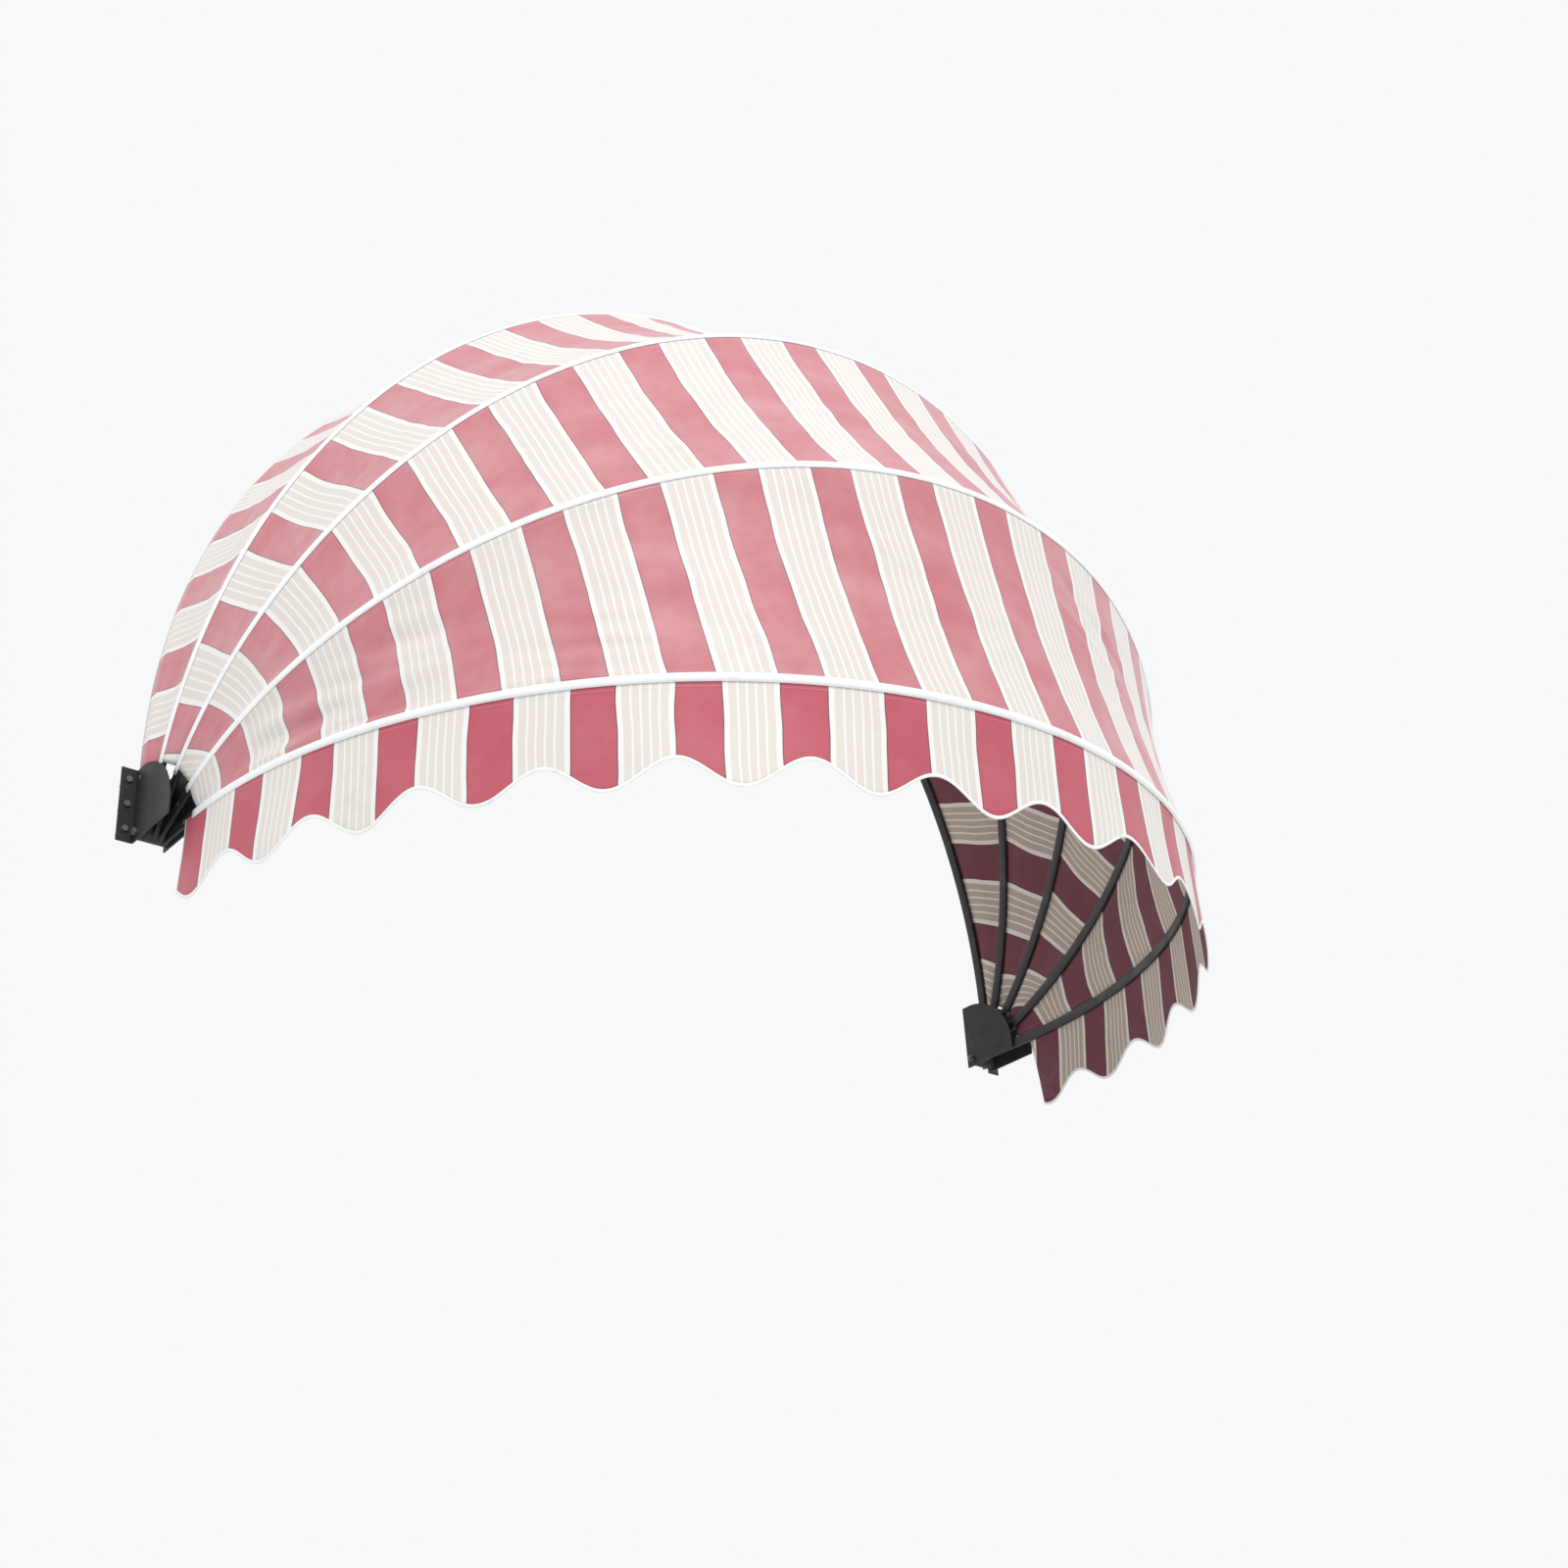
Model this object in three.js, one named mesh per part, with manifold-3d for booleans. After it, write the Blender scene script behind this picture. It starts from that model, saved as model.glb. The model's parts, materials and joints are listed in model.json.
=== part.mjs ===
// Dome awning. Five bent bows turn on one axis through two hub brackets. They carry four gores
// of cloth, with a cover strip over each moving bow, and a scalloped valance on the front bow.
//
// Millimetres. +Z is up and +Y is towards the wall. The origin is on the wall plane, behind the
// crown of the wall bow. The fan frame, in which most pieces are worked out, has its X axis on
// the pivot axis. A bow's own frame has its centre line in the XZ plane, with Z along the bow's
// straight legs, so -Y is the side towards the next bow.

import * as THREE from 'three';
import { mergeVertices } from 'three/addons/utils/BufferGeometryUtils.js';
import Module from 'manifold-3d';

const wasm = await Module();
wasm.setup();

// ---------------------------------------------------------------- driving dimensions

const GAP = 0.3; // between pieces that touch
const WALL_BOW_HALF_WIDTH = 1275;
const LANE_PITCH = 14; // each bow is this much narrower, on each side, than the bow behind it
const STRAIGHT_LEG = 160; // from the pivot axis to where a bow starts to curve
const PIVOT_TO_WALL = 18;

// Angle in degrees from straight up, towards the front, and height of the crown above the axis.
const BOW_PLAN = [
  { name: 'wall', angle: 0, crown: 1690 },
  { name: 'second', angle: 20.5, crown: 1655 },
  { name: 'third', angle: 44, crown: 1570 },
  { name: 'fourth', angle: 68.5, crown: 1510 },
  { name: 'front', angle: 92, crown: 1480 },
];

const TUBE_WIDTH = 26;
const TUBE_THICKNESS = 9;
const TUBE_WALL = 1.4;
const TUBE_CORNER = 2;
const TUBE_START = 70; // from the pivot axis to the tube's cut end

const EYE_RADIUS = 17;
const EYE_THICKNESS = 13.4;
const TONGUE_LENGTH = 55;
const WALL_TONGUE_LENGTH = 82;
const RIVET_RADIUS = 3;
const RIVET_HOLE_RADIUS = 3.4;
const RIVET_HEAD_RADIUS = 5.5;
const RIVET_HEAD_HEIGHT = 1.2;
const RIVET_SHOULDER = { radius: 0.7, height: 0.75 }; // shares of the head's radius and height
const RIVET_PLACE = 103; // from the pivot axis
const WALL_RIVET_PLACE = 133;

const PLATE_THICKNESS = 4;
const PLATE_RADIUS = 157;
const PLATE_BELOW_AXIS = 22;
const PLATE_CLEARANCE = 0.5; // between the stack of eyes and each plate
const WEB_THICKNESS = 3;
const WEB_START = 26; // above the pivot axis, clear of the eyes
const FLANGE_DEPTH = 40;
const FLANGE_BEND_RADIUS = 5;
const FLANGE_SCREW_HEIGHTS = [8, 68, 128];

const BOLT_RADIUS = 5;
const BOLT_HOLE_RADIUS = 5.4;
const BOLT_HEAD_RADIUS = 9.2;
const BOLT_HEAD_HEIGHT = 6.4;
const BOLT_END_STICKOUT = 2.5;
const NUT_HEIGHT = 8;
const WASHER_RADIUS = 10;
const WASHER_THICKNESS = 1.6;

const LAG_RADIUS = 4;
const LAG_LENGTH = 45;
const LAG_HEAD_RADIUS = 7.5;
const LAG_HEAD_HEIGHT = 5.3;
const CLIP_SCREW_RADIUS = 2.3;
const CLIP_SCREW_LENGTH = 35;
const CLIP_SCREW_HEAD_RADIUS = 4.8;
const CLIP_SCREW_HEAD_HEIGHT = 3;
const SCREW_HOLE_CLEARANCE = 0.5;

const CLIP_PLATE = 3;
const CLIP_WIDTH = 30;
const CLIP_REACH = 40; // from the tube's centre line to the clip's free end
const CLIP_LIP = 2;
const CLIP_SCREW_PLACE = 26;
const CLIP_ARC_PLACES = { right: 0.25, crown: 0.5, left: 0.75 }; // share of the wall bow's arc

const CLOTH = 0.8;
const CLOTH_SAG = 14; // at mid span, half way up the dome
const WALL_FLAP = 17.5; // cloth that runs back over the wall bow to the wall
const STRIP_WIDTH = 20;
const STRIP_HEIGHT = 2;
const STRIP_LIFT = 6.5; // from the tube's centre to the strip's underside
const STRIP_SHOULDER = { width: 0.75, height: 0.7 }; // shares of the half width and the height

const SCALLOP_PITCH = 260;
const SCALLOP_SHIFT = -101; // a low point's place along the bow, from the crown towards -X
const VALANCE_MEAN = 209;
const VALANCE_WAVE = 31;
const VALANCE_END_RISE = 32; // how much higher the lower edge hangs at the ends
const VALANCE_OFFSET = 49; // the valance is sewn on this far off centre, towards -X
const VALANCE_RIGHT_LEAN = 44; // how far its right end slopes in, from top to bottom
const VALANCE_LEFT_LEAN = 8;
const BINDING_WIDTH = 8;
const BINDING_THICKNESS = 1.8;

const ARC_STEPS = 49; // odd, so that a straight run lies at the crown
const VALANCE_STEPS = 96;
const ROUND_STEPS = 12;
const GORE_BAYS = 3; // between the two bows, beside one bay over each tube

const BOWS = BOW_PLAN.map((plan, lane) => ({
  ...plan,
  theta: THREE.MathUtils.degToRad(plan.angle),
  halfWidth: WALL_BOW_HALF_WIDTH - lane * LANE_PITCH,
}));
const WALL_BOW = BOWS[0];
const FRONT_BOW = BOWS[BOWS.length - 1];
const PLATE_INNER_FACE = WALL_BOW_HALF_WIDTH + EYE_THICKNESS / 2 + PLATE_CLEARANCE;
const PLATE_OUTER_FACE = PLATE_INNER_FACE + PLATE_THICKNESS;
const STACK_INNER_FACE = FRONT_BOW.halfWidth - EYE_THICKNESS / 2;
const CHEEK_OUTER_FACE = STACK_INNER_FACE - PLATE_CLEARANCE;
const CHEEK_INNER_FACE = CHEEK_OUTER_FACE - PLATE_THICKNESS;

// ---------------------------------------------------------------- materials

const finish = (color, roughness, metalness) =>
  new THREE.MeshStandardMaterial({ color, roughness, metalness });

const MATERIALS = {
  bow: finish(0x3b3d40, 0.5, 0.6),
  bracket: finish(0x2f3133, 0.55, 0.5),
  steel: finish(0x8d8f92, 0.35, 0.9),
  cloth: finish(0xc4606c, 0.85, 0),
  tape: finish(0xf1f3f2, 0.6, 0),
};

// ---------------------------------------------------------------- solids

// Moves every corner of a closed shape to the place that `place(x, y, z)` gives.
function remap(shape, place) {
  const geometry = weld(shape);
  const corners = geometry.attributes.position;
  for (let i = 0; i < corners.count; i += 1) {
    const point = place(corners.getX(i), corners.getY(i), corners.getZ(i));
    corners.setXYZ(i, point.x, point.y, point.z);
  }
  geometry.computeVertexNormals();
  return geometry;
}

function weld(shape) {
  const bare = shape.clone();
  bare.deleteAttribute('normal');
  bare.deleteAttribute('uv');
  return mergeVertices(bare, 1e-4);
}

function toManifold(shape) {
  const geometry = weld(shape);
  return new wasm.Manifold(new wasm.Mesh({
    numProp: 3,
    vertProperties: Float32Array.from(geometry.attributes.position.array),
    triVerts: Uint32Array.from(geometry.index.array),
  }));
}

function fromManifold(solid) {
  const mesh = solid.getMesh();
  const geometry = new THREE.BufferGeometry();
  geometry.setAttribute('position', new THREE.BufferAttribute(mesh.vertProperties, 3));
  geometry.setIndex(new THREE.BufferAttribute(mesh.triVerts, 1));
  geometry.computeVertexNormals();
  return geometry;
}

function join(...shapes) {
  return fromManifold(shapes.map(toManifold).reduce((whole, piece) => whole.add(piece)));
}

function cut(shape, ...tools) {
  return fromManifold(tools.map(toManifold).reduce((left, tool) => left.subtract(tool), toManifold(shape)));
}

function common(shape, other) {
  return fromManifold(toManifold(shape).intersect(toManifold(other)));
}

function polygon(points) {
  return new THREE.Shape(points.map(([x, y]) => new THREE.Vector2(x, y)));
}

function slab(shape, depth) {
  return new THREE.ExtrudeGeometry(shape, { depth, bevelEnabled: false, curveSegments: 6 });
}

// A cylinder along X between two places on that axis.
function barX(radius, from, to, sides = ROUND_STEPS) {
  const bar = new THREE.CylinderGeometry(radius, radius, Math.abs(to - from), sides);
  return bar.rotateZ(Math.PI / 2).translate((from + to) / 2, 0, 0);
}

function barY(radius, from, to, sides = ROUND_STEPS) {
  const bar = new THREE.CylinderGeometry(radius, radius, Math.abs(to - from), sides);
  return bar.translate(0, (from + to) / 2, 0);
}

// A block between two opposite corners.
function block(low, high) {
  const size = high.map((value, axis) => value - low[axis]);
  const centre = high.map((value, axis) => (value + low[axis]) / 2);
  return new THREE.BoxGeometry(...size).translate(...centre);
}

// An outline drawn in (Y, Z), made into a slab along X that starts at X = 0.
function slabAlongX(shape, depth) {
  return slab(shape, depth).rotateY(Math.PI / 2).rotateX(Math.PI / 2);
}

// ---------------------------------------------------------------- hoops

// Places along a bow's curved part, in its own plane: x across, r away from the pivot axis,
// and the direction that points out of the dome.
function arcStation(bow, share) {
  const point = bow.arc.getPointAt(share);
  const tangent = bow.arc.getTangentAt(share);
  return { x: point.x, r: point.y, outX: tangent.y, outR: -tangent.x };
}

for (const bow of BOWS) {
  bow.arc = new THREE.EllipseCurve(0, STRAIGHT_LEG, bow.halfWidth, bow.crown - STRAIGHT_LEG, 0, Math.PI);
  bow.stations = Array.from({ length: ARC_STEPS + 1 }, (_, i) => arcStation(bow, i / ARC_STEPS));
}

// The curved part with a straight leg added at both ends.
function stationsWithLegs(bow) {
  const right = { x: bow.halfWidth, r: TUBE_START, outX: 1, outR: 0 };
  const left = { x: -bow.halfWidth, r: TUBE_START, outX: -1, outR: 0 };
  return [right, ...bow.stations, left];
}

// Bends a section, drawn with X out of the dome and Y to the bow's side, along the stations.
function bendSection(section, stations) {
  const steps = stations.length - 1;
  const straight = new THREE.ExtrudeGeometry(section, { depth: steps, steps, bevelEnabled: false });
  return remap(straight, (x, y, z) => {
    const station = stations[Math.round(z)];
    return { x: station.x + x * station.outX, y, z: station.r + x * station.outR };
  });
}

// A place beside a bow, in the fan frame.
function besideBow(bow, station, out, side) {
  const r = station.r + out * station.outR;
  return new THREE.Vector3(
    station.x + out * station.outX,
    -r * Math.sin(bow.theta) - side * Math.cos(bow.theta),
    r * Math.cos(bow.theta) - side * Math.sin(bow.theta),
  );
}

// ---------------------------------------------------------------- frame pieces

function tubeSection() {
  const t = TUBE_THICKNESS / 2;
  const w = TUBE_WIDTH / 2;
  const c = TUBE_CORNER;
  const section = polygon([
    [t, c - w], [t, w - c], [t - c, w], [c - t, w], [-t, w - c], [-t, c - w], [c - t, -w], [t - c, -w],
  ]);
  const ti = t - TUBE_WALL;
  const wi = w - TUBE_WALL;
  section.holes.push(polygon([[-ti, -wi], [-ti, wi], [ti, wi], [ti, -wi]]));
  return section;
}

function rivetPlace(bow) {
  return bow === WALL_BOW ? WALL_RIVET_PLACE : RIVET_PLACE;
}

function bowTube(bow) {
  const tube = bendSection(tubeSection(), stationsWithLegs(bow));
  const reach = bow.halfWidth + TUBE_THICKNESS;
  const drill = barX(RIVET_HOLE_RADIUS, -reach, reach).translate(0, 0, rivetPlace(bow));
  return cut(tube, drill);
}

function bowFoot(bow) {
  const eye = barX(EYE_RADIUS, -EYE_THICKNESS / 2, EYE_THICKNESS / 2, 2 * ROUND_STEPS);
  const w = TUBE_WIDTH / 2;
  const shoulder = TUBE_START - GAP;
  const neckOutline = polygon([
    [-EYE_RADIUS, 0], [EYE_RADIUS, 0], [w, shoulder / 2], [w, shoulder], [-w, shoulder], [-w, shoulder / 2],
  ]);
  const neck = slabAlongX(neckOutline, TUBE_THICKNESS).translate(-TUBE_THICKNESS / 2, 0, 0);
  const tongueLength = bow === WALL_BOW ? WALL_TONGUE_LENGTH : TONGUE_LENGTH;
  const tongueThickness = TUBE_THICKNESS - 2 * TUBE_WALL - 2 * GAP;
  const tongueWidth = TUBE_WIDTH - 2 * TUBE_WALL - 2 * GAP;
  const tongue = new THREE.BoxGeometry(tongueThickness, tongueWidth, tongueLength + 2)
    .translate(0, 0, shoulder + tongueLength / 2 - 1);
  return cut(
    join(eye, neck, tongue),
    barX(BOLT_HOLE_RADIUS, -EYE_THICKNESS, EYE_THICKNESS),
    barX(RIVET_HOLE_RADIUS, -EYE_THICKNESS, EYE_THICKNESS).translate(0, 0, rivetPlace(bow)),
  );
}

// A round-headed rivet along X. Its heads bear on faces at `inner` and `outer`.
function rivet(inner, outer) {
  const low = inner - GAP;
  const high = outer + GAP;
  const edge = RIVET_HEAD_RADIUS;
  const crown = RIVET_HEAD_HEIGHT;
  const shoulder = { radius: RIVET_SHOULDER.radius * edge, height: RIVET_SHOULDER.height * crown };
  const profile = [
    [0, low - crown], [shoulder.radius, low - shoulder.height], [edge, low], [RIVET_RADIUS, low],
    [RIVET_RADIUS, high], [edge, high], [shoulder.radius, high + shoulder.height], [0, high + crown],
  ].map(([x, y]) => new THREE.Vector2(x, y));
  return new THREE.LatheGeometry(profile, ROUND_STEPS).rotateZ(-Math.PI / 2);
}

// The right-hand bracket in the fan frame: two fan-shaped plates with the feet between them,
// joined by a web along the wall, with a flange bent outwards for the screws.
function bracket() {
  const back = PIVOT_TO_WALL;
  const low = -PLATE_BELOW_AXIS;
  const height = Math.sqrt(PLATE_RADIUS ** 2 - back ** 2);
  const tip = PLATE_INNER_FACE + FLANGE_DEPTH;
  const fan = new THREE.Shape();
  fan.moveTo(back, low);
  fan.lineTo(back, height);
  const start = Math.atan2(height, back);
  const end = Math.PI + Math.asin(PLATE_BELOW_AXIS / PLATE_RADIUS);
  fan.absarc(0, 0, PLATE_RADIUS, start, end, false);
  fan.lineTo(back, low);
  const fanBlock = slabAlongX(fan, tip - CHEEK_INNER_FACE + 1).translate(CHEEK_INNER_FACE, 0, 0);

  const screwHole = barY(LAG_RADIUS + SCREW_HOLE_CLEARANCE, back - 2 * PLATE_THICKNESS, back + 1);
  const screwHoles = FLANGE_SCREW_HEIGHTS.map((z) => screwHole.clone().translate(flangeScrewX(), 0, z));
  return cut(
    common(join(...bracketWalls(back, low, height, tip)), fanBlock),
    barX(BOLT_HOLE_RADIUS, CHEEK_INNER_FACE - 1, PLATE_OUTER_FACE + 1),
    barX(RIVET_HOLE_RADIUS, PLATE_INNER_FACE - 1, PLATE_OUTER_FACE + 1).translate(0, 0, WALL_RIVET_PLACE),
    ...screwHoles,
  );
}

// The bracket's sheet metal before its outline is cut: outer plate with flange, cheek and web.
function bracketWalls(back, low, height, tip) {
  const reach = PLATE_RADIUS + 1;
  const bend = FLANGE_BEND_RADIUS;
  const angle = new THREE.Shape();
  angle.moveTo(PLATE_INNER_FACE, -reach);
  angle.lineTo(PLATE_OUTER_FACE, -reach);
  angle.lineTo(PLATE_OUTER_FACE, back - PLATE_THICKNESS);
  angle.lineTo(tip, back - PLATE_THICKNESS);
  angle.lineTo(tip, back);
  angle.lineTo(PLATE_INNER_FACE + bend, back);
  angle.absarc(PLATE_INNER_FACE + bend, back - bend, bend, Math.PI / 2, Math.PI, false);
  const plate = slab(angle, height - low).translate(0, 0, low);
  const cheek = block([CHEEK_INNER_FACE, -reach, low], [CHEEK_OUTER_FACE, back, height]);
  const webLow = [CHEEK_INNER_FACE, back - WEB_THICKNESS, WEB_START];
  const web = block(webLow, [PLATE_INNER_FACE + bend, back, height]);
  return [plate, cheek, web];
}

function flangeScrewX() {
  return (PLATE_OUTER_FACE + PLATE_INNER_FACE + FLANGE_DEPTH) / 2 + 1;
}

function pivotBolt() {
  const headFace = PLATE_OUTER_FACE + GAP;
  const end = CHEEK_INNER_FACE - 3 * GAP - WASHER_THICKNESS - NUT_HEIGHT - BOLT_END_STICKOUT;
  const head = barX(BOLT_HEAD_RADIUS, headFace, headFace + BOLT_HEAD_HEIGHT, 6);
  return join(head, barX(BOLT_RADIUS, end, headFace + 1, 2 * ROUND_STEPS));
}

function pivotWasher() {
  const face = CHEEK_INNER_FACE - GAP;
  const disc = barX(WASHER_RADIUS, face - WASHER_THICKNESS, face, 2 * ROUND_STEPS);
  return cut(disc, barX(BOLT_HOLE_RADIUS, face - 2 * WASHER_THICKNESS, face + 1, 2 * ROUND_STEPS));
}

function pivotNut() {
  const face = CHEEK_INNER_FACE - 2 * GAP - WASHER_THICKNESS;
  const hexagon = barX(BOLT_HEAD_RADIUS, face - NUT_HEIGHT, face, 6);
  return cut(hexagon, barX(BOLT_HOLE_RADIUS, face - NUT_HEIGHT - 1, face + 1, 2 * ROUND_STEPS));
}

// A wall screw along Y. Its head bears on a face at Y = 0 and its point is at +Y.
function screw(radius, length, headRadius, headHeight, headSides) {
  const head = barY(headRadius, -GAP - headHeight, -GAP, headSides);
  const shank = barY(radius, -GAP - headHeight / 2, length - 2 * radius, ROUND_STEPS);
  const point = new THREE.CylinderGeometry(0.4, radius, 2 * radius, ROUND_STEPS)
    .translate(0, length - radius, 0);
  return join(head, shank, point);
}

// A J-shaped clip. Z points out of the dome, with the wall bow's centre line at the origin.
function wallClip() {
  const back = PIVOT_TO_WALL;
  const shelfTop = -TUBE_THICKNESS / 2 - GAP;
  const front = -TUBE_WIDTH / 2 - GAP;
  const outline = polygon([
    [back, -CLIP_REACH], [back, TUBE_THICKNESS / 2], [back - CLIP_PLATE, TUBE_THICKNESS / 2],
    [back - CLIP_PLATE, shelfTop], [front, shelfTop], [front, CLIP_LIP],
    [front - CLIP_PLATE, CLIP_LIP], [front - CLIP_PLATE, shelfTop - CLIP_PLATE],
    [back - CLIP_PLATE, shelfTop - CLIP_PLATE], [back - CLIP_PLATE, -CLIP_REACH],
  ]);
  const body = slabAlongX(outline, CLIP_WIDTH).translate(-CLIP_WIDTH / 2, 0, 0);
  const drill = barY(CLIP_SCREW_RADIUS + SCREW_HOLE_CLEARANCE, back - 2 * CLIP_PLATE, back + 1);
  return cut(body, drill.translate(0, 0, -CLIP_SCREW_PLACE));
}

// ---------------------------------------------------------------- cloth pieces

// A sheet of cloth: `place(i, j, w)` gives its corners, with i along the bows, j from the back
// towards the front, and w 0 on the inner face and 1 on the outer face.
function sheet(along, across, place) {
  const slabOfCloth = new THREE.BoxGeometry(1, 1, 1, along, across, 1).translate(1 / 2, 1 / 2, 1 / 2);
  return remap(slabOfCloth, (x, y, z) => place(Math.round(x * along), Math.round(y * across), z));
}

// The cloth between two bows: flat over both tubes, and a little hollow between them. The bows'
// stations match one to one, though their arcs differ a little in length.
function gore(rear, front) {
  const overTube = TUBE_WIDTH / 2 + GAP;
  const rearEdge = rear === WALL_BOW ? -WALL_FLAP : GAP;
  const across = GORE_BAYS + 2;
  return sheet(ARC_STEPS, across, (i, j, w) => {
    const out = TUBE_THICKNESS / 2 + GAP + w * CLOTH;
    const rearStation = rear.stations[i];
    const frontStation = front.stations[i];
    if (j === 0) return besideBow(rear, rearStation, out, rearEdge);
    if (j === across) return besideBow(front, frontStation, out, -GAP);
    const share = (j - 1) / GORE_BAYS;
    const from = besideBow(rear, rearStation, out, overTube);
    const to = besideBow(front, frontStation, out, -overTube);
    const sag = CLOTH_SAG * Math.sin(Math.PI * share) * Math.sin(Math.PI * i / ARC_STEPS);
    const inwards = besideBow(rear, rearStation, out - sag, overTube).sub(from)
      .add(besideBow(front, frontStation, out - sag, -overTube).sub(to));
    return from.lerp(to, share).addScaledVector(inwards, 1 / 2);
  });
}

// A band that hangs from the front bow. `upper` and `lower` give how far down its two edges lie,
// from how far down the scalloped edge is at that place.
function frontBand(upper, lower, thickness, across) {
  const half = FRONT_BOW.arc.getLength() / 2;
  const middle = TUBE_THICKNESS / 2 + GAP + CLOTH / 2;
  return sheet(VALANCE_STEPS, across, (i, j, w) => {
    const share = i / VALANCE_STEPS;
    const drop = valanceDrop(valanceWay(share, 0, half), half);
    const side = THREE.MathUtils.lerp(upper(drop), lower(drop), j / across);
    const station = frontStation(valanceWay(share, side / VALANCE_MEAN, half), half);
    return besideBow(FRONT_BOW, station, middle + (w - 1 / 2) * thickness, side);
  });
}

// The way along the bow to a share of the valance's length, at a depth of 0 at the bow and 1 at
// the mean drop. The ends slope in.
function valanceWay(share, depth, half) {
  const right = VALANCE_OFFSET - half + VALANCE_RIGHT_LEAN * depth;
  const left = VALANCE_OFFSET + half - VALANCE_LEFT_LEAN * depth;
  return THREE.MathUtils.lerp(right, left, share);
}

// A place on the front bow by its way from the crown towards -X, on a straight leg past the arc.
function frontStation(way, half) {
  const beyond = Math.max(Math.abs(way) - half, 0);
  if (beyond === 0) return arcStation(FRONT_BOW, (1 + way / half) / 2);
  const outX = -Math.sign(way);
  return { x: outX * FRONT_BOW.halfWidth, r: STRAIGHT_LEG - beyond, outX, outR: 0 };
}

function valanceDrop(way, half) {
  const turns = (way - SCALLOP_SHIFT) / SCALLOP_PITCH;
  const rise = VALANCE_END_RISE * (way / half) ** 4;
  return VALANCE_MEAN - rise + VALANCE_WAVE * Math.cos(2 * Math.PI * turns);
}

function valance() {
  return frontBand(() => GAP, (drop) => drop - BINDING_WIDTH, CLOTH, 2);
}

function valanceBinding() {
  return frontBand((drop) => drop - BINDING_WIDTH + GAP, (drop) => drop, BINDING_THICKNESS, 1);
}

function coverStrip(bow) {
  const w = STRIP_WIDTH / 2;
  const low = STRIP_LIFT;
  const high = STRIP_LIFT + STRIP_HEIGHT;
  const shoulder = low + STRIP_HEIGHT * STRIP_SHOULDER.height;
  const inset = w * STRIP_SHOULDER.width;
  const section = polygon([[low, -w], [shoulder, -inset], [high, 0], [shoulder, inset], [low, w]]);
  return bendSection(section, bow.stations);
}

// ---------------------------------------------------------------- assembly

function named(name, geometry, material) {
  const mesh = new THREE.Mesh(geometry, material.clone());
  mesh.name = name;
  return mesh;
}

const SIDES = [['right', 1], ['left', -1]];

function bowGroup(bow) {
  const group = new THREE.Group();
  group.rotation.x = bow.theta;
  group.add(named(`${bow.name}_bow`, bowTube(bow), MATERIALS.bow));
  const half = TUBE_THICKNESS / 2;
  const outer = bow === WALL_BOW ? PLATE_OUTER_FACE - WALL_BOW_HALF_WIDTH : half;
  for (const [side, sign] of SIDES) {
    const foot = named(`${bow.name}_foot_${side}`, bowFoot(bow), MATERIALS.bracket);
    foot.position.x = sign * bow.halfWidth;
    const pin = named(`${bow.name}_foot_rivet_${side}`, rivet(-half, outer), MATERIALS.steel);
    pin.position.set(sign * bow.halfWidth, 0, rivetPlace(bow));
    pin.rotation.z = sign > 0 ? 0 : Math.PI;
    group.add(foot, pin);
  }
  if (bow !== WALL_BOW) group.add(named(`${bow.name}_cover_strip`, coverStrip(bow), MATERIALS.tape));
  return group;
}

// One bracket with its bolt, washer, nut and screws. The left one is the right one's mirror image.
function hubGroup(side, sign) {
  const group = new THREE.Group();
  const flip = (geometry) => (sign > 0 ? geometry : mirrorX(geometry));
  group.add(
    named(`hub_bracket_${side}`, flip(bracket()), MATERIALS.bracket),
    named(`pivot_bolt_${side}`, flip(pivotBolt()), MATERIALS.steel),
    named(`pivot_washer_${side}`, flip(pivotWasher()), MATERIALS.steel),
    named(`pivot_nut_${side}`, flip(pivotNut()), MATERIALS.steel),
  );
  FLANGE_SCREW_HEIGHTS.forEach((z, i) => {
    const lag = screw(LAG_RADIUS, LAG_LENGTH, LAG_HEAD_RADIUS, LAG_HEAD_HEIGHT, 6);
    const mesh = named(`bracket_screw_${side}_${i + 1}`, lag, MATERIALS.steel);
    mesh.position.set(sign * flangeScrewX(), PIVOT_TO_WALL - PLATE_THICKNESS, z);
    group.add(mesh);
  });
  return group;
}

function mirrorX(shape) {
  return fromManifold(toManifold(shape).mirror([1, 0, 0]));
}

function clipGroup(side, share) {
  const before = WALL_BOW.stations[Math.floor(share * ARC_STEPS)];
  const after = WALL_BOW.stations[Math.floor(share * ARC_STEPS) + 1];
  const group = new THREE.Group();
  group.position.set((before.x + after.x) / 2, 0, (before.r + after.r) / 2);
  group.rotation.y = Math.atan2(before.outX + after.outX, before.outR + after.outR);
  const clip = named(`wall_clip_${side}`, wallClip(), MATERIALS.bracket);
  const shape = screw(
    CLIP_SCREW_RADIUS, CLIP_SCREW_LENGTH, CLIP_SCREW_HEAD_RADIUS, CLIP_SCREW_HEAD_HEIGHT, ROUND_STEPS,
  );
  const fixing = named(`wall_clip_screw_${side}`, shape, MATERIALS.steel);
  fixing.position.set(0, PIVOT_TO_WALL - CLIP_PLATE, -CLIP_SCREW_PLACE);
  group.add(clip, fixing);
  return group;
}

const fan = new THREE.Group();
fan.position.set(0, -PIVOT_TO_WALL, -WALL_BOW.crown);
fan.add(...BOWS.map(bowGroup));
fan.add(...SIDES.map(([side, sign]) => hubGroup(side, sign)));
fan.add(...Object.entries(CLIP_ARC_PLACES).map(([side, share]) => clipGroup(side, share)));
BOWS.slice(1).forEach((front, i) => {
  fan.add(named(`cloth_gore_${i + 1}`, gore(BOWS[i], front), MATERIALS.cloth));
});
fan.add(named('valance', valance(), MATERIALS.cloth));
fan.add(named('valance_binding', valanceBinding(), MATERIALS.tape));

const awning = new THREE.Group();
awning.add(fan);
awning.updateMatrixWorld(true);

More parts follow.
